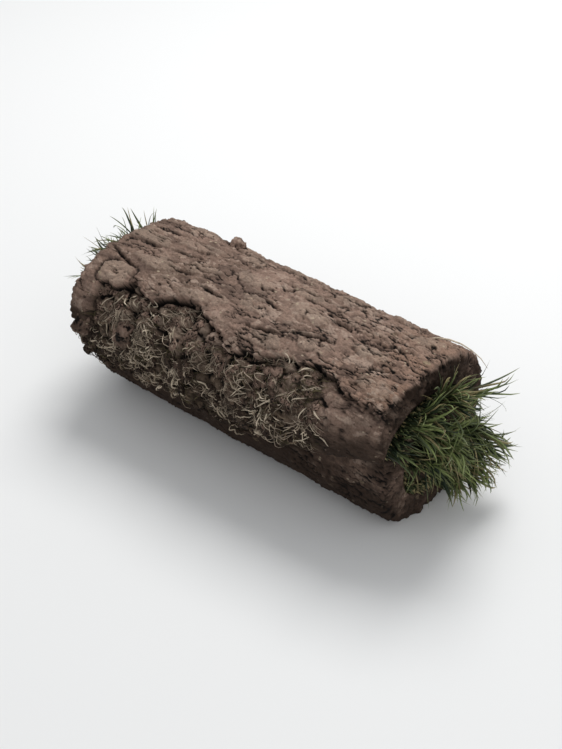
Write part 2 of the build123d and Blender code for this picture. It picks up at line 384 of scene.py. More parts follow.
class Shader:
    """A material with short calls for its nodes."""

    def __init__(self, name, roughness, specular):
        self.material = bpy.data.materials.new(name)
        self.material.use_nodes = True
        self.tree = self.material.node_tree
        self.surface = self.tree.nodes["Principled BSDF"]
        self.surface.inputs["Roughness"].default_value = roughness
        self.surface.inputs["Specular IOR Level"].default_value = specular
        self.place = self.add("ShaderNodeTexCoord", {}).outputs["Object"]

    def add(self, kind, sockets, **settings):
        """A node with its settings, and a value or another node's output at each socket."""
        node = self.tree.nodes.new(kind)
        for key, value in settings.items():
            setattr(node, key, value)
        for key, source in sockets.items():
            self.join(source, node.inputs[key])
        return node

    def join(self, source, socket):
        if hasattr(source, "is_output"):
            self.tree.links.new(source, socket)
        else:
            socket.default_value = source

    def stretched(self, stretch):
        return self.add("ShaderNodeMapping", {"Vector": self.place, "Scale": stretch}).outputs["Vector"]

    def noise(self, scale, detail=4.0, roughness=0.55, stretch=(1, 1, 1)):
        sockets = {"Vector": self.stretched(stretch), "Scale": scale, "Detail": detail}
        return self.add("ShaderNodeTexNoise", {**sockets, "Roughness": roughness}).outputs["Fac"]

    def grains(self, scale, stretch=(1, 1, 1)):
        """Distance to the nearest of many scattered grains, and that grain's own number."""
        node = self.add("ShaderNodeTexVoronoi", {"Vector": self.stretched(stretch), "Scale": scale})
        return node.outputs["Distance"], node.outputs["Color"]

    def attribute(self, name):
        return self.add("ShaderNodeAttribute", {}, attribute_name=name).outputs["Fac"]

    def math(self, operation, first, second):
        return self.add("ShaderNodeMath", {0: first, 1: second}, operation=operation).outputs[0]

    def between(self, value, start, stop, low=0.0, high=1.0):
        """A value taken smoothly from low at start to high at stop."""
        sockets = {"Value": value, "From Min": start, "From Max": stop, "To Min": low, "To Max": high}
        node = self.add("ShaderNodeMapRange", sockets, interpolation_type="SMOOTHSTEP")
        return node.outputs["Result"]

    def mix(self, share, first, second, how="MIX"):
        sockets = {"Factor": share, "A": first, "B": second}
        node = self.add("ShaderNodeMix", sockets, data_type="RGBA", blend_type=how)
        return node.outputs["Result"]

    def tinted(self, base, value, start, stop, colour, most=1.0):
        """The base with a colour over it where a value has gone from start to stop."""
        return self.mix(self.between(value, start, stop, 0.0, most), base, srgb(*colour))

    def bump(self, height, strength, distance):
        sockets = {"Height": height, "Strength": strength, "Distance": distance}
        normal = self.add("ShaderNodeBump", sockets).outputs["Normal"]
        self.join(normal, self.surface.inputs["Normal"])

    def colour(self, source):
        self.join(source, self.surface.inputs["Base Color"])


def soil_material():
    shader = Shader("soil", roughness=0.95, specular=0.15)
    mix, tinted, between, noise = shader.mix, shader.tinted, shader.between, shader.noise
    dry = mix(between(noise(11, 5), 0.35, 0.65), srgb(158, 132, 117), srgb(122, 101, 88))
    dry = tinted(dry, noise(70, 6, 0.7), 0.42, 0.68, (143, 119, 105))
    # Painted warm sunlight on the top towards +X
    dry = tinted(dry, shader.attribute("warm"), 0, 1, (165, 131, 108), 0.55)
    # The damp colour, darkened further as painted shade where faces turn down
    wet_and_shade = mix(noise(30, 6, 0.65), srgb(72, 57, 47), srgb(42, 33, 28))
    damp = shader.math("ADD", shader.attribute("damp"), between(noise(22, 4), 0.3, 0.7, -0.2, 0.2))
    flake = shader.attribute("tone")
    dry = tinted(dry, flake, 0.4, 0.9, (102, 84, 75), 0.75)
    dry = tinted(dry, flake, 0.35, 0.05, (182, 160, 144), 0.7)
    base = mix(between(damp, 0.1, 0.9), dry, wet_and_shade)
    rooty = mix(between(noise(90, 5, 0.65), 0.35, 0.65), srgb(108, 92, 77), srgb(48, 40, 33))
    base = mix(between(shader.attribute("torn"), 0.2, 0.9, 0.0, 0.7), base, rooty)
    # A painted highlight, with pale dust, on raised parts
    base = tinted(base, shader.attribute("lift"), 0.35, 1.0, (176, 156, 138), 0.4)
    grain = between(noise(480, 5, 0.75), 0.32, 0.68, 0.35, 1.25)
    base = mix(0.5, base, grain, "MULTIPLY")
    seen = between(damp, 0.9, 0.3, 0.15, 0.8)
    for scale, low, high, tone in ((300, 0.8, 0.85, (186, 170, 146)), (190, 0.78, 0.86, (40, 30, 25)),
                                   (120, 0.86, 0.9, (166, 148, 122))):
        distance, own = shader.grains(scale, (0.6, 1, 1))
        fleck = shader.math("MULTIPLY", between(distance, 0.3, 0.2), between(own, low, high))
        base = mix(shader.math("MULTIPLY", fleck, seen), base, srgb(*tone))
    # Painted shade in cracks and hollows
    base = tinted(base, shader.attribute("cavity"), 0.1, 0.9, (17, 13, 11))
    shader.colour(base)
    coarse = noise(150, 6, 0.7, stretch=(0.55, 1, 1))
    fine = shader.math("MULTIPLY", noise(700, 5, 0.75), 0.35)
    shader.bump(shader.math("ADD", coarse, fine), 1.0, 0.0032)
    return shader.material


def fibre_material(name, pale, dark):
    """Roots and dead straw: each strand has a tone of its own."""
    shader = Shader(name, roughness=0.8, specular=0.2)
    base = shader.mix(shader.attribute("tone"), srgb(*dark), srgb(*pale))
    shader.colour(shader.tinted(base, shader.noise(300, 4, 0.7), 0.35, 0.75, (60, 47, 38), 0.5))
    shader.bump(shader.noise(1200, 3), 0.5, 0.0004)
    return shader.material


def grass_material():
    """Blades: dark green to fresh green, some gone to straw, paler towards the tip, with painted shade
    towards the root.
    """
    shader = Shader("grass", roughness=0.5, specular=0.35)
    along = shader.attribute("along")
    green = shader.mix(shader.attribute("tone"), srgb(24, 40, 22), srgb(140, 154, 92))
    green = shader.tinted(green, along, 0.7, 1.0, (172, 176, 118), 0.45)
    straw = shader.mix(shader.noise(90, 4), srgb(186, 174, 128), srgb(120, 102, 66))
    base = shader.mix(shader.between(shader.attribute("dry"), 0.4, 0.6), green, straw)
    # Painted shade deep in the tuft, darkest at each blade's root
    base = shader.tinted(base, along, 0.75, 0.25, (15, 17, 11), 0.92)
    base = shader.tinted(base, shader.noise(240, 3), 0.3, 0.7, (34, 50, 24), 0.35)
    shader.colour(base)
    shader.bump(shader.noise(900, 3, 0.6, stretch=(0.2, 1, 1)), 0.35, 0.0004)
    return shader.material


def sward_material():
    """Pressed grass and thatch between the turns."""
    shader = Shader("sward", roughness=0.9, specular=0.15)
    base = shader.mix(shader.noise(160, 6, 0.7), srgb(56, 50, 31), srgb(94, 78, 55))
    base = shader.tinted(base, shader.noise(420, 5, 0.7), 0.42, 0.62, (24, 21, 15))
    shader.colour(base)
    shader.bump(shader.noise(700, 5, 0.7), 1.0, 0.0015)
    return shader.material


# The strip of soil

FACE_STEP = 1.8  # between points along the roll
ROW_STEPS = ((1.40, 7.0), (1.63, 1.3), (1.87, 2.6), (2.08, 1.6), (9, 1.02))  # up to each turn
VISIBLE_TURN = 1.40
SHIFT_FROM = 2.3  # where the rows start to draw in towards the ragged end
RIM_POINTS = 5
END_POINTS = 16


def winding_rows():
    """Turn numbers of the rows, and the length along the strip to each."""
    fine = np.linspace(FIRST_TURN, LAST_TURN, 6000)
    points = place(0, fine, soil_face(fine))
    length = np.concatenate([[0], np.cumsum(np.linalg.norm(np.diff(points, axis=0), axis=1))])
    places = [0.0]
    while places[-1] < length[-1]:
        turn = np.interp(places[-1], length, fine)
        step = next(step for limit, step in ROW_STEPS if turn < limit)
        places.append(places[-1] + step)
    places = np.minimum(places, length[-1])
    places = places[np.concatenate([[True], np.diff(places) > 0.2])]
    return np.interp(places, length, fine), places


ROWS, LENGTHS = winding_rows()


def length_at(turn):
    """Length along the strip at a turn number."""
    return np.interp(turn, ROWS, LENGTHS)


def end_shift(rows, x):
    """How many turns the strip's rows draw in, so that it ends where it is torn off."""
    early = EARLY_END * hold(x) + 0.008 * (1 + fractal(x / 24, x * 0 + 0.5, 101))
    early += 0.004 * fractal(x / 6, x * 0 + 0.5, 103)
    return np.clip((rows - SHIFT_FROM) / (LAST_TURN - SHIFT_FROM), 0, 1) * early


def tear_distance(x, turn):
    """How far below the torn line a point of the soil face lies."""
    fine = np.linspace(LAST_TURN - 0.36, LAST_TURN - 0.05, 400)
    shoulder = place(0, fine, soil_face(fine))
    break_y = np.interp(x, *zip(*TEAR_LINE))
    break_y = break_y + 3.2 * fractal(x / 17, x * 0 + 0.5, 71) + 1.6 * hills(x / 4.5, x * 0 + 0.5, 72)
    break_turn = np.interp(-break_y, -shoulder[:, 1], fine)
    first_edge = STRIP_WIDTH / PATCHES - HALF + 3 * fractal(turn * 22, turn * 0 + 0.5, 73)
    first = ramp(x, first_edge + 2, first_edge - 2)
    break_turn += (FIRST_TEAR - break_turn) * first
    return length_at(turn) - length_at(break_turn)


def crack(distance, width, opening):
    """A crack's depth from 0 to 1, narrower where it opens less."""
    return opening * np.exp(-((distance / (width * (0.35 + 0.65 * opening))) ** 2))


def main_cracks(spots):
    """How deep the main cracks are at each place, from 0 to 1."""
    deep = np.zeros(spots.s.shape)
    for start_x, start_turn, stop_x, stop_turn in CRACKS:
        start = np.array([start_x * HALF, length_at(start_turn)])
        line = np.array([stop_x * HALF, length_at(stop_turn)]) - start
        off_x, off_s = spots.x - start[0], spots.s - start[1]
        near = np.clip((off_x * line[0] + off_s * line[1]) / (line @ line), 0, 1)
        distance = np.hypot(off_x - near * line[0], off_s - near * line[1])
        width = 0.5 + 0.9 * np.sqrt(np.clip(1 - (2 * near - 1) ** 2, 0, 1))
        deep = np.maximum(deep, np.exp(-((distance / width) ** 2)) * (width - 0.2) / 1.2)
    return np.clip(deep, 0, 1)


def soft_box(across, up, width, depth, power):
    """0 in the middle of a box with soft corners, and 1 on its edge."""
    across, up = np.abs(across) * 2 / width, np.abs(up) * 2 / depth
    return (across**power + up**power) ** (1 / power)


def loose_plate(spots):
    """Millimetres from the edge of the loose plate, less than 0 inside it."""
    share, turn, width, depth, spin = PLATE
    across, up = spots.off(share * HALF, turn, spin)
    return (soft_box(across, up, width, depth, 5) - 1) * depth / 2


def raised_flakes(spots):
    """Millimetres inside the edge of the nearest flake, less than 0 outside them all."""
    inside_by = np.full(spots.s.shape, -99.0)
    for number in range(FLAKES):
        middle = FLAKE_REACH * (2 * (GOLDEN * (number + 1) % 1) - 1) * HALF
        turn = FLAKE_FROM + (FLAKE_TO - FLAKE_FROM) * (number + 0.5) / FLAKES
        across, up = spots.off(middle, turn, -FLAKE_SPIN * math.sin(3.7 * number))
        corners = []
        for corner in range(FLAKE_CORNERS):
            skewed = corner + FLAKE_SKEW * math.sin(2.1 * corner + 5 * number)
            angle = 2 * math.pi * skewed / FLAKE_CORNERS
            reach = (1 + FLAKE_UNEVENNESS * math.sin(4.3 * corner + 3.1 * number)) / 2
            corners.append((FLAKE_WIDTH * reach * math.cos(angle), -FLAKE_DEPTH * reach * math.sin(angle)))
        edge = np.full(spots.s.shape, 99.0)
        for (first_x, first_s), (next_x, next_s) in zip(corners, corners[1:] + corners[:1]):
            side = math.hypot(next_x - first_x, next_s - first_s)
            off = (across - first_x) * (next_s - first_s) - (up - first_s) * (next_x - first_x)
            edge = np.minimum(edge, off / side)
        inside_by = np.maximum(inside_by, edge)
    return inside_by


def root_lumps(spots):
    """Height of the lumps on the torn part."""
    height = np.zeros(spots.s.shape)
    for number in LUMP_PATCHES:
        for row, turn in enumerate(LUMP_TURNS):
            sway = LUMP_SWAY * math.sin(5.3 * number + 4.1 * row)
            middle = -HALF + STRIP_WIDTH / PATCHES * (number + 0.5 + sway)
            width = LUMP_WIDTH * (1 + LUMP_UNEVENNESS * math.sin(7.7 * number + row))
            on_turn = turn + LUMP_WANDER * math.sin(3.1 * number + 2.3 * row)
            across, up = spots.off(middle, on_turn, -LUMP_SPIN * math.sin(4.7 * number + 2 * row))
            edge = 1 - soft_box(across, up, width, width * 0.8, 3)
            height = np.maximum(height, LUMP_HEIGHT * LUMP_PROUD * ramp(edge, -0.1, 0.35))
    return height


def strayed(face):
    """The same places strayed a little, and strayed further, so that no edge runs straight."""
    jagged = Spots(face.x + 1.6 * face.fractal(9, 9, 4) + 0.7 * face.hills(3.2, 3.2, 2),
                   face.s + 1.9 * face.fractal(8, 8, 6) + 0.8 * face.hills(3.4, 3, 8))
    bent = Spots(jagged.x + 5 * face.fractal(34, 30, 3), jagged.s + 4 * face.fractal(30, 26, 5))
    return jagged, bent


def cracked_face(face, jagged, bent, plate_edge):
    """The soil between the main cracks, broken into plates, flakes and steps: its height, the painted
    shade in its cracks, and the tone of each flake."""
    cracked = ramp(face.fractal(40, 24, 17, 3) + 0.3 * ramp(face.x, 20, 120), -0.35, 0.4)
    line_crack = crack(face.off_line(bent.fractal(40, 13, 13, 3)), 0.95, cracked)
    thin_lines = fractal(jagged.x / 34 + 2 * face.fractal(40, 30, 19), jagged.s / 6, 15, 2)
    thin_open = (0.5 + 0.5 * ramp(face.x, -40, 60)) * cracked * ramp(plate_edge, -1, 4)
    thin_crack = crack(face.off_line(thin_lines), 0.7, thin_open)
    _, edge, plate = bent.cells(34, 15, 21)
    plate_crack = crack(edge * 15, 0.9, ramp(face.fractal(30, 24, 23, 3), -0.1, 0.5))
    long_crack = np.maximum(line_crack, plate_crack)
    _, edge, flake = bent.cells(13, 6, 37)
    flaky = ramp(face.fractal(44, 26, 41, 3), -0.5, 0.3)
    flake_crack = crack(edge * 6, 0.7, flaky)
    _, _, scale = jagged.cells(6.5, 3.6, 43)

    steps = terraces(1.5 * bent.fractal(26, 12, 45, 3), 0.22)
    fine_steps = terraces(1.5 * jagged.fractal(11, 5, 47, 2), 0.3)
    height = 0.7 * (plate - 0.5) + 0.65 * steps + 0.4 * fine_steps
    height = height + flaky * 0.9 * (flake - 0.5) + 0.35 * (scale - 0.5)
    height += 0.45 * face.fractal(5, 4, 63, 3)
    height = height - LONG_CRACK_DEPTH * long_crack - FLAKE_CRACK_DEPTH * flake_crack - thin_crack
    # Painted shade in the cracks
    cavity = 0.85 * long_crack + 0.3 * flake_crack + 0.6 * thin_crack

    chips, _, chosen = jagged.cells(5.5, 2.8, 49)
    chip = ramp(chips, 0.5, 0.35) * ramp(chosen, 0.9, 0.94)
    tone = np.clip(0.5 + 0.5 * (flake - 0.5) + 0.5 * (plate - 0.5) + 0.4 * (scale - 0.5), 0, 1)
    tone *= (1 - chip) * (1 - 0.5 * ramp(plate_edge, 0, -2))
    return height + 0.7 * chip, cavity, tone


def loose_soil(face, turn):
    """Where the soil is crumbly, from 0 to 1, and where that is the damp far shoulder."""
    crumbly = ramp(face.fractal(34, 26, 59, 3), 0.45, 1.0)
    shoulder = ramp(turn, *SHOULDER_TURNS[:2]) * (1 - ramp(turn, *SHOULDER_TURNS[2:]))
    shoulder *= ramp(face.x, *SHOULDER_X[:2]) * (1 - ramp(face.x, *SHOULDER_X[2:]))
    shoulder *= ramp(face.fractal(30, 18, 105, 3), -0.7, 0.2)
    return np.maximum(crumbly, shoulder), shoulder


def rooted_clumps(face, jagged, bent):
    """Height of the torn part: clumps held by the roots, with deep gaps between them."""
    clumps, gap, number = bent.cells(19, 14, 81)
    small, _, piece = jagged.cells(8, 6.5, 85)
    height = 3.0 * (0.55 - clumps) * (0.5 + 0.7 * number) - 2.2 * ramp(gap, 0.3, 0.05)
    return height + 2.4 * (0.5 - small) * piece + 1.6 * face.fractal(7, 6, 83)


def soil_relief(face, turn, tear, torn, held):
    """Height of the soil over the smooth winding in millimetres, the painted shade in its hollows,
    where the damp shoulder is, and the tone of each flake."""
    jagged, bent = strayed(face)
    main = main_cracks(jagged)
    beside_main = main_cracks(Spots(jagged.x, jagged.s + 2.4))
    plate_edge = loose_plate(jagged)
    plate_gap = np.exp(-(((plate_edge - 1.2) / 1.1) ** 2))
    flake_edge = raised_flakes(jagged)
    flake_gap = crack(flake_edge + 1.2, 0.8, 1) * ramp(face.hills(16, 9, 29), 0.1, 0.6)

    height, cavity, tone = cracked_face(face, jagged, bent, plate_edge)
    height = height + 0.9 * face.fractal(70, 45, 11, 2) + 0.8 * beside_main * (1 - main)
    height = height + PLATE_RISE * ramp(plate_edge, 0, -2.5) + FLAKE_RISE * ramp(flake_edge, -1.4, 1.4)
    crumbly, shoulder = loose_soil(face, turn)
    lumps, _, number = face.cells(5.2, 4.6, 53)
    lump = np.clip(0.6 - lumps, 0, 1) * (0.4 + number)
    height += crumbly * (1.8 * lump - 0.4 + 0.6 * face.fractal(6, 5, 61))
    # Painted shade between the crumbly lumps
    cavity += crumbly * 0.45 * ramp(lumps, 0.5, 0.75)
    most = RELIEF + PLATE_RISE * (plate_edge < 0) + 0.6 * FLAKE_RISE * (flake_edge > 0)
    height = np.clip(height, -RELIEF, most) - CRACK_DEPTH * main - 1.8 * plate_gap - 0.8 * flake_gap
    # Painted shade in the main cracks and in the gaps round the plate and the flakes
    cavity = np.maximum.reduce([cavity, main, 0.8 * plate_gap, 0.7 * flake_gap])

    rough = rooted_clumps(face, jagged, bent) + 0.8 * lump
    rough = (rough + root_lumps(jagged)) * (1 - 0.8 * held)
    # Under the tear's edge: a groove with a painted shadow line, and painted shade in the torn part's gaps
    ledge = np.exp(-(((tear - 2.2) / 2.0) ** 2)) * ramp(tear, -0.5, 0.8) * (1 - 0.5 * held)
    height = height * (1 - 0.8 * torn) + torn * rough - 2.2 * ledge
    cavity = cavity * (1 - 0.6 * torn) + torn * ramp(-rough, 0.1, 2.2) + 0.85 * ledge
    return height, np.clip(cavity, 0, 1), shoulder, tone


def strip_columns():
    """The columns of points along the roll: cut face, rounded rim, soil face, rim and cut face. Gives
    the soil face's x, and each column's side (-1, 0 or 1), nearest x on the soil face, angle round
    the rim and share of the way down the cut."""
    reach = HALF - RIM
    face = np.linspace(-reach, reach, round(2 * reach / FACE_STEP) + 1)
    rim = np.linspace(0, math.pi / 2, RIM_POINTS + 1)[1:]
    cut = np.linspace(0, 1, END_POINTS + 1)[1:]
    past = np.ones(len(rim) + len(cut))
    flat = np.zeros(len(face))
    quarter = np.full(len(cut), math.pi / 2)
    side = np.concatenate([-past, flat, past])
    beside = np.concatenate([past * face[0], face, past * face[-1]])
    bend = np.concatenate([quarter, rim[::-1], flat, rim, quarter])
    end = np.concatenate([cut[::-1], 0 * rim, flat, 0 * rim, cut])
    return face, side, beside, bend, end


def build_soil(material):
    """The whole strip as one closed body: its soil face, rims and ends, and a plain grass face.
    Gives what on_soil needs to know about its soil face."""
    straight, side, beside, bend, end = strip_columns()
    along = np.broadcast_to(beside + side * (RIM * bend + SOIL * end), (len(ROWS), len(side)))
    turn = ROWS[:, None] - end_shift(ROWS[:, None], along)
    face = Spots(along, length_at(turn))
    tear = tear_distance(along, turn)
    held = hold(along)
    torn = ramp(tear, 0, 1.4) * (turn > LAST_TURN - 0.5)

    # The smooth strip, thinner where it is torn and rounded off where it stops
    inner = grass_face(turn)
    patch = (along + 5 * face.fractal(22, 16, 87) + HALF) / (STRIP_WIDTH / PATCHES)
    uneven = np.sin(2.9 * (np.floor(patch) + 1))
    gone = (TEAR_SHARE + TEAR_UNEVENNESS * uneven) * (1 - (1 - WHOLE_END) * held**2) * torn
    outer = inner + thickness(ROWS)[:, None] * (SOIL / PITCH - gone)
    closing = np.clip((LENGTHS - LENGTHS[-1] + 5) / 5, 0, 1)[:, None]
    outer = inner + (outer - inner) * np.sqrt(np.maximum(1 - closing**2, 0.0004))
    rim = np.minimum(RIM, 0.45 * (outer - inner))
    radius = outer - rim * (1 - np.cos(bend)) - end * (outer - rim - inner)
    x = beside * (HALF - rim) / straight[-1] + side * rim * np.sin(bend)
    base = place(x, turn, radius)

    # Its relief, which fades out where the strip is hidden, very thin or meets the grass face
    smooth = place(x, turn, radius + (PITCH * gone) * (1 - end))
    normal = unit(np.cross(np.gradient(smooth, axis=0), np.gradient(smooth, axis=1)))
    end_share = ramp(end, 0, 0.3)
    height, cavity, shoulder, tone = soil_relief(face, turn, tear, torn, held)
    cut = 1.7 * face.fractal(9, 8, 91) + 1.3 * face.fractal(3, 3, 93)
    cut += 0.8 * terraces(1.6 * face.fractal(7, 7, 99), 0.3)
    chipped = 2.2 * terraces(1.6 * face.fractal(22, 9, 95), 0.4) * np.sin(bend)
    height = (height * (1 - 0.2 * np.sin(bend)) + chipped) * (1 - end_share) + end_share * cut
    # Painted shade in the hollows of the cut ends
    cavity = cavity * (1 - 0.7 * end_share) + end_share * ramp(-cut, 0.3, 1.2) * 0.5
    in_sight = ramp(ROWS, VISIBLE_TURN - 0.02, VISIBLE_TURN)[:, None]
    quiet = np.where(end_share > 0.5, 1 - ramp(end, 0.8, 1.0), in_sight)
    thin = np.clip((outer - inner) / 8, 0, 1)
    points = base + normal * (height * quiet * thin)[..., None]
    keep_over(points, 0.05)

    # For its material: damp and painted shade on faces that turn down, a painted highlight with dust
    # on raised parts, painted warm sunlight on the top at +X, and a painted shadow under the torn end
    upward = normal[..., 2]
    # Damp and painted shade: darkest on faces that turn down, and on the damp far shoulder
    damp = 0.8 - upward - 0.1 * end_share + 0.1 * torn * (1 - 3 * held) + 0.4 * shoulder
    damp = np.clip(damp + 0.15 * face.fractal(16, 12, 107, 3), 0, 1)
    # lift: a painted highlight, with pale dust, on the raised parts of the soil
    lift = np.clip(0.5 + 0.4 * height, 0, 1) * quiet * (1 - 0.6 * end_share) * (1 - 0.5 * damp)
    # Painted warm sunlight on faces that look up, towards +X
    warm = ramp(along, 60, 150) * ramp(upward, 0.5, 1) * (0.6 + 0.4 * face.fractal(30, 20, 97))
    rooty = torn * (1 - ramp(held, 0.45, 0.75))
    # Painted shadow on the turn below, just past where the torn strip ends
    end_length = length_at(LAST_TURN - 1 - (ROWS[-1] - turn[-1]))
    below = np.where(turn < LAST_TURN - 0.8, face.s - end_length, 99)
    cavity = np.maximum(cavity, 0.75 * np.exp(-((below / 5) ** 2)))
    make_mesh("soil_strip", points, tube_faces(len(ROWS), len(side)), material, "soil", "soil_mat",
              cavity=np.clip(cavity, 0, 1) * quiet, damp=damp, torn=rooty, lift=lift,
              warm=np.clip(warm, 0, 1), tone=tone)
    found = {"points": points, "normal": normal, "torn": rooty, "damp": damp, "cavity": cavity}
    return {"x": straight, **{key: values[:, side == 0] for key, values in found.items()}}


def on_soil(soil, x, length, *keys):
    """What the soil face has under the given keys, at places x and length."""
    column = np.interp(x, soil["x"], np.arange(len(soil["x"])))
    row = np.interp(length, LENGTHS, np.arange(len(LENGTHS)))
    left = np.clip(column.astype(int), 0, len(soil["x"]) - 2)
    low = np.clip(row.astype(int), 0, len(LENGTHS) - 2)
    found = []
    for key in keys:
        grid = soil[key]
        across, up = column - left, row - low
        if grid.ndim == 3:
            across, up = across[..., None], up[..., None]
        bottom = grid[low, left] * (1 - across) + grid[low, left + 1] * across
        top = grid[low + 1, left] * (1 - across) + grid[low + 1, left + 1] * across
        found.append(bottom * (1 - up) + top * up)
    return found


# Roots, straw and thatch on the torn side

def pick_torn(soil, count):
    """Random places on the torn part, as x and length, closer together in clumps."""
    spots = Spots(*np.meshgrid(soil["x"], LENGTHS))
    weight = (soil["torn"] > 0.5) * np.clip(0.3 + spots.fractal(16, 13, 401, 2), 0.02, 1)
    weight *= 1 - 0.9 * soil["cavity"]
    weight[ROWS > LAST_TURN - 0.004] = 0
    chosen = rng.choice(weight.size, size=count, p=weight.ravel() / weight.sum())
    row, column = np.unravel_index(chosen, weight.shape)
    return soil["x"][column], LENGTHS[row]


def lying_paths(soil, x, length, reach, heading, lift):
    """Strands that lie on the soil: they wander, and rise off it between their ends."""
    count, steps = len(x), len(ROOT_TAPER)
    angle = heading[:, None] + np.cumsum(rng.normal(0, 0.32, (count, steps)), axis=1)
    stride = reach[:, None] / (steps - 1)
    path_x = x[:, None] + np.cumsum(np.cos(angle) * stride, axis=1)
    path_s = length[:, None] + np.cumsum(np.sin(angle) * stride, axis=1)
    path_s = np.minimum(path_s, LENGTHS[-1] - 0.5)
    path_x = np.clip(path_x, soil["x"][0], soil["x"][-1])
    points, normal = on_soil(soil, path_x, path_s, "points", "normal")
    along = np.linspace(0, 1, steps)[None, :]
    rise = lift[:, None] * (np.sin(along * math.pi * 0.8) + 0.1)
    points += normal * rise[..., None]
    points[:, 1:-1] = 0.5 * points[:, 1:-1] + 0.25 * (points[:, :-2] + points[:, 2:])
    keep_over(points, 1)
    return points


def build_fibres(soil):
    roots = fibre_material("fine_roots", (204, 186, 164), (58, 47, 38))
    straw = fibre_material("dead_straw", (226, 210, 186), (120, 104, 86))
    thatch = fibre_material("thatch", (92, 84, 58), (30, 28, 20))
    # name, material, slot, bunches, strands in each, its spread, reach, half width, lift, heading
    groups = (
        ("fine_roots", roots, "soil", 130, 13, 3.4, (6, 19), (0.17, 0.38), 2.2, 0.5),
        ("dead_straw", straw, "soil", 80, 5, 3.8, (5, 15), (0.4, 0.8), 2.8, 0.6),
        ("thatch", thatch, "grass_green", 90, 12, 5.0, (5, 13), (0.2, 0.42), 1.6, 0.9),
    )
    for name, material, slot, bunches, each, spread, reach, width, lift, turning in groups:
        count = bunches * each
        x, length = (np.repeat(values, each) for values in pick_torn(soil, bunches))
        x, length = x + rng.normal(0, spread, count), length + rng.normal(0, spread, count)
        torn, cavity = on_soil(soil, x, length, "torn", "cavity")
        rooted = (torn > 0.4) & (cavity < 0.75)
        x, length, cavity, count = x[rooted], length[rooted], cavity[rooted], rooted.sum()
        bunch = np.repeat(np.arange(bunches), each)[rooted]
        heading = rng.normal(math.pi / 2, 1.1, bunches)[bunch] + rng.normal(0, turning, count)
        rise = np.abs(rng.normal(0.3, lift, count))
        paths = lying_paths(soil, x, length, rng.uniform(*reach, count), heading, rise)
        across = rng.uniform(*width, count)[:, None] * np.array(ROOT_TAPER)
        points, faces = strands(paths, across, ROUND)
        # The tone gets painted shade in the soil's hollows and lower down the torn side
        tone = rng.uniform(0, 1, bunches)[bunch] + rng.normal(0.2, 0.25, count) - 0.8 * cavity
        tone -= 0.35 * ramp(paths[:, 0, 2], 90, 45)
        tone = np.repeat(np.clip(tone, 0, 1), paths.shape[1] * len(ROUND))
        make_mesh(name, points, faces, material, slot, None, tone=tone)

    # One long pale root that hangs over the end from the far top corner
    path = np.array([[(128, 44, 133), (137, 45, 137.5), (147, 46.5, 139.5), (157, 48, 139),
                      (166, 49.5, 136), (174, 51, 131), (180, 52, 124)]], dtype=float)
    across = np.array([[0.9, 0.85, 0.8, 0.7, 0.6, 0.45, 0.2]])
    points, faces = strands(path, across, ROUND)
    make_mesh("hanging_root", points, faces, straw, "soil", None, tone=np.full(points[..., 0].size, 0.7))


# Clods and crumbs

def lump_shapes(count, level, roughness):
    """Rough angular lumps about one unit in radius: points of each, and the faces of one."""
    shape = bmesh.new()
    bmesh.ops.create_icosphere(shape, subdivisions=level, radius=1)
    ball = np.array([vertex.co[:] for vertex in shape.verts])
    faces = np.array([[vertex.index for vertex in face.verts] for face in shape.faces])
    shape.free()
    sides = unit(rng.normal(size=(count, 13, 3)))
    depth = rng.uniform(0.62, 1.0, (count, 1, 13))
    facing = np.maximum(np.einsum("nj,ckj->cnk", ball, sides), 0.05)
    reach = np.minimum(np.min(depth / facing, axis=2), 1.15)
    x, y, z = np.moveaxis(ball[None] * 1.9 + rng.uniform(-50, 50, (count, 1, 3)), -1, 0)
    rough = fractal(x, y, 201) + fractal(y, z, 203)
    rough += 0.5 * terraces(2 * fractal(z, x, 205), 0.3)
    rough += 0.6 * fractal(3.2 * x, 3.2 * y + 2 * z, 207, 3)
    return ball[None] * (reach * (1 + roughness * rough))[..., None], faces, rough


def build_lumps(name, material, centres, normals, damp, sizes, spin, level, roughness, torn, tone=0.5):
    """Lumps of the given sizes (along, across, up) that sit on the soil at their centres."""
    shapes, one_faces, rough = lump_shapes(len(centres), level, roughness)
    shapes *= sizes[:, None, :]
    first = unit(ALONG_ROLL - normals * normals[:, :1])
    along = first * np.cos(spin)[:, None] + np.cross(normals, first) * np.sin(spin)[:, None]
    across = np.cross(normals, along)
    points = (centres[:, None] + shapes[..., :1] * along[:, None] + shapes[..., 1:2] * across[:, None]
              + shapes[..., 2:] * normals[:, None])
    keep_over(points, 0.3)
    each = shapes.shape[1]
    faces = one_faces[None] + (np.arange(len(centres)) * each)[:, None, None]
    # Painted shade in each lump's hollows, and a painted highlight with pale dust where it is dry
    make_mesh(name, points, faces.reshape(-1, 3).tolist(), material, "soil", None,
              damp=np.repeat(damp, each), cavity=0.9 * ramp(-rough, 0.0, 1.0),
              torn=np.repeat(torn, each), lift=np.repeat(0.45 * (1 - damp), each),
              warm=np.zeros(len(centres) * each), tone=tone - 0.4 * rough)


def build_clods(soil, material):
    share, turn, width, height, spin = np.array(CLODS).T
    points, normal = on_soil(soil, share * HALF, length_at(turn), "points", "normal")
    points[:, 0] = share * HALF
    points -= normal * (CLOD_SINK * height)[:, None]
    sizes = np.stack([width / 2, width * 0.4, height * 0.6], axis=-1) * 1.3
    on_torn = ramp(turn, 2.38, 2.42)
    dry = np.where((turn > 2.3) & (on_torn == 0), 0.1, 0.5)[:, None]
    build_lumps("clods", material, points, normal, 0.1 + 0.4 * on_torn, sizes, np.radians(spin),
                5, 0.13, 0.3 * on_torn, dry)


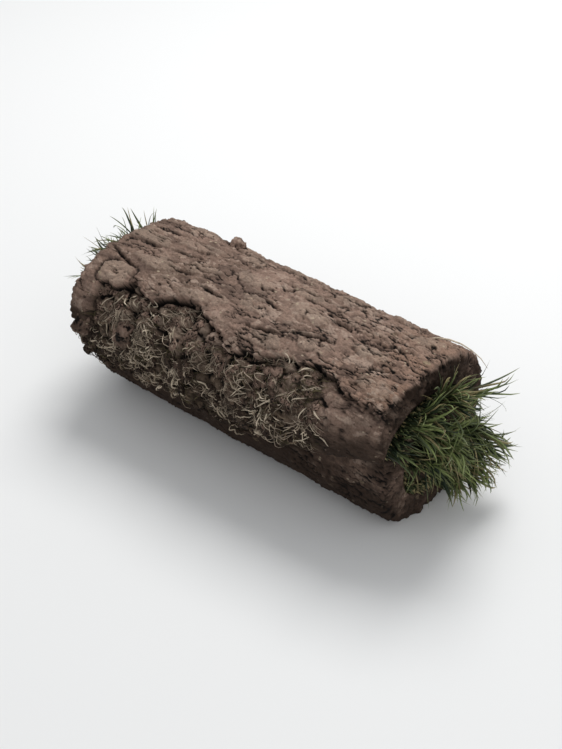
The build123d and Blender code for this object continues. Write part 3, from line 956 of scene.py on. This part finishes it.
def build_crumbs(soil, material):
    """Small crumbs everywhere, most on the torn part, and bigger lumps there."""
    start = LENGTHS[ROWS > VISIBLE_TURN + 0.03][0]
    # name, how many all over, how many on the torn part, least and most radius, detail, roughness
    for name, spread, on_torn, least, most, level, roughness in (
            ("crumbs", 1300, 1000, 0.4, 2.0, 2, 0.18), ("lumps", 0, 420, 2.2, 4.6, 3, 0.16)):
        torn_x, torn_s = pick_torn(soil, on_torn)
        x = np.concatenate([rng.uniform(soil["x"][0], soil["x"][-1], spread), torn_x])
        s = np.concatenate([rng.uniform(start, LENGTHS[-1] - 2, spread), torn_s])
        torn = np.concatenate([np.zeros(spread), rng.uniform(0.1, 0.7, on_torn)])
        size = least + (most - least) * rng.beta(1.2, 3.5, len(x)) * np.where(torn > 0, 1, 0.7)
        points, normal, damp = on_soil(soil, x, s, "points", "normal", "damp")
        lone = rng.uniform(0, 1, len(x)) < 0.6 * ramp(damp, 0.4, 0.8) * (torn == 0)
        keep = (points[:, 2] > 12) & ~lone
        points, normal, damp, size, torn = (values[keep] for values in (points, normal, damp, size, torn))
        number = len(points)
        stretch = rng.uniform(0.75, 1.35, (number, 3)) * np.array([1.15, 0.95, 0.65])
        damp = np.clip(damp + rng.normal(0.05, 0.15, number), 0.05, 1)
        build_lumps(name, material, points + normal * size[:, None] * 0.1, normal, damp,
                    stretch * size[:, None], rng.uniform(0, math.pi, number), level, roughness, torn)


# The grass

def build_sward():
    """The pressed grass between the turns, a little inside both ends."""
    rows = np.arange(FIRST_TURN + 0.02, LAST_TURN - 0.006, 0.012)
    reach = HALF - 4
    face = np.linspace(-reach, reach, 40)
    sides = np.array([0.75, 0.5, 0.25])
    x = np.concatenate([face, 0 * sides + reach, face[::-1], 0 * sides - reach])
    share = np.concatenate([np.ones(len(face)), sides, np.zeros(len(face)), sides[::-1]])
    turn = rows[:, None] - end_shift(rows[:, None], x[None, :])
    low, high = inside(turn) + 0.2, grass_face(turn) - 0.2
    ragged = 2.6 * fractal(turn * 40, share * 4 + np.sign(x) * 9, 301) * (np.abs(x) == reach)
    points = place(x + ragged * np.sign(x), turn, low + share * (high - low))
    make_mesh("sward", points, tube_faces(len(rows), len(x)), sward_material(), "grass_green", "grass")


def bend_blades(root, splay, length, steps):
    """Paths of blades that run along the roll until they are free of it, then go their own way."""
    count = len(root)
    stride = (length / (steps - 1))[:, None]
    droop = np.abs(rng.normal(0.04, 0.05, count))[:, None]
    turn_away = rng.normal(0, 0.06, (count, 3))
    paths = [root]
    heading = np.broadcast_to(ALONG_ROLL, (count, 3))
    for _ in range(1, steps):
        free = ramp(paths[-1][:, :1], HALF + FREE_FROM, HALF + FREE_TO)
        heading = unit(heading * (1 - 0.5 * free) + splay * 0.5 * free)
        splay = unit(splay + turn_away + np.array([0, 0, -1]) * droop)
        paths.append(paths[-1] + heading * stride)
    return np.stack(paths, axis=1)


def eased(over, most):
    """Lets less and less of a distance through, and never more than most."""
    return most * (1 - np.exp(-over / most))


def hold_back(paths):
    """Bends blades softly back where they would stray too far out, and keeps them off the floor."""
    size = (len(paths), 1)
    furthest = HALF + GRASS_REACH - EASE + rng.uniform(-5, 0, size)
    over = np.maximum(paths[..., 0] - furthest, 0)
    paths[..., 0] = np.minimum(paths[..., 0], furthest) + eased(over, EASE)
    for way, middle, most in ((1, SEAT_Y, GRASS_ASIDE), (2, GRASS_MIDDLE, GRASS_UP)):
        off = paths[..., way] - middle
        over = np.maximum(np.abs(off) - most + EASE_ASIDE, 0)
        paths[..., way] = middle + np.sign(off) * (np.abs(off) - over + eased(over, EASE_ASIDE))
    keep_over(paths, 1.0 + rng.uniform(0, 2, size))
    return paths


def build_blades(material, name, end, clumps, per_clump, reach, width, dry_share, brightest):
    """Clumps of blades rooted between the turns near one end, which spread and droop beyond it."""
    steps = 10 if reach[1] > 40 else 6
    count = clumps * per_clump
    clump_turn = np.sqrt(rng.uniform(0.5**2, (LAST_TURN - 0.12) ** 2, 3 * clumps))
    # Only stubble grows low at the front and high at the back, where the rim shows
    _, y, z = place(0, clump_turn, inside(clump_turn) + SWARD / 2).T
    bare = (z + FRONT_SLOPE * y < BARE_FRONT) | ((y > BARE_BACK[0]) & (z > BARE_BACK[1]))
    clump_turn = clump_turn[~bare | (reach[1] < 15)][:clumps]
    clump_way = rng.normal(0, 0.34, (clumps, 3))
    clump_out = rng.normal(0.2, 0.26, clumps)
    clump_reach = rng.uniform(0.75, 1.1, clumps)
    own = np.repeat(np.arange(clumps), per_clump)
    turn = np.clip(clump_turn[own] + rng.normal(0, 0.008, count), 0.45, LAST_TURN - 0.11)
    low, high = inside(turn), grass_face(turn)
    radius = low + rng.uniform(0.15, 0.85, count) * (high - low)
    root = place(HALF - rng.uniform(2, 5 + 0.2 * reach[1], count), turn, radius)

    # Those near the top fan out over the rim, and those low down are shorter and hang inwards
    _, y, z = root.T
    upper = ramp(z, *FAN_HEIGHT) * ramp(y, 30, 0)
    lower = ramp(z + FRONT_SLOPE * y, *LOW_HEIGHT)
    outward = unit((root - [0, SEAT_Y, SEAT_Z]) * [0, 1, 1])
    spread = clump_out[own] + 0.55 * upper - 0.25 * lower
    splay = ALONG_ROLL + outward * spread[:, None] + clump_way[own]
    splay = unit(splay + rng.normal(0, 0.2, (count, 3)))
    splay[:, 0] = np.maximum(splay[:, 0], 0.1)
    length = rng.uniform(*reach, count) * clump_reach[own] * (1 - 0.4 * lower)
    paths = hold_back(bend_blades(root, splay, length, steps))
    paths[..., 0] *= end

    share = np.linspace(0, 1, steps)
    taper = np.interp(share, np.linspace(0, 1, len(BLADE_TAPER)), BLADE_TAPER)
    across = rng.uniform(*width, count)[:, None] * taper
    points, faces = strands(paths, across, BLADE)
    each = steps * len(BLADE)
    tone = brightest * np.clip(rng.beta(0.7, 1.4, clumps)[own] + rng.normal(0, 0.3, count), 0, 1)
    dry = (rng.uniform(0, 1, count) < dry_share).astype(float)
    along = np.tile(np.repeat(share, len(BLADE)), count)
    make_mesh(name, points, faces, material, "grass_green", "grass",
              tone=np.repeat(tone, each), dry=np.repeat(dry, each), along=along)


# Surroundings

def build_stage():
    bpy.ops.mesh.primitive_plane_add(size=40, location=(0, 0, 0))
    floor = bpy.context.object
    floor.name = "floor"
    paint = Shader("floor_paint", roughness=0.9, specular=0.5)
    paint.colour((0.8, 0.8, 0.79, 1))
    floor.data.materials.append(paint.material)

    world = bpy.data.worlds.new("soft_sky")
    bpy.context.scene.world = world
    world.use_nodes = True
    background = world.node_tree.nodes["Background"]
    background.inputs["Color"].default_value = (0.95, 0.97, 1.0, 1)
    background.inputs["Strength"].default_value = 0.55

    def lamp(name, place_m, size, power):
        data = bpy.data.lights.new(name, "AREA")
        data.size = size
        data.energy = power
        item = new_object(name, data)
        item.location = place_m
        item.rotation_euler = (-Vector(place_m)).to_track_quat("-Z", "Y").to_euler()

    lamp("key", (-0.3, 0.9, 1.7), 1.0, 26)
    lamp("fill", (1.5, -0.9, 1.0), 1.6, 7)


def build_camera():
    """The photograph's viewing place: high over the -Y side, in front of the grass end."""
    data = bpy.data.cameras.new("camera")
    camera = new_object("camera", data)
    camera.location = Vector((CAMERA_X, SEAT_Y + CAMERA_Y, SEAT_Z + CAMERA_Z)) * METRE
    aim = Vector(CAMERA_AIM) * METRE
    look = (aim - camera.location).to_track_quat("-Z", "Y")
    lean = Quaternion((0, 0, 1), math.radians(CAMERA_LEAN))
    camera.rotation_euler = (look @ lean).to_euler()
    data.sensor_fit = "HORIZONTAL"
    data.sensor_width = 36
    data.lens = LENS
    bpy.context.scene.camera = camera


earth = soil_material()
soil = build_soil(earth)
build_fibres(soil)
build_clods(soil, earth)
build_crumbs(soil, earth)
build_sward()
blades = grass_material()
for group in GRASS:
    build_blades(blades, *group)
build_stage()
build_camera()

bpy.context.scene.view_settings.view_transform = "Standard"
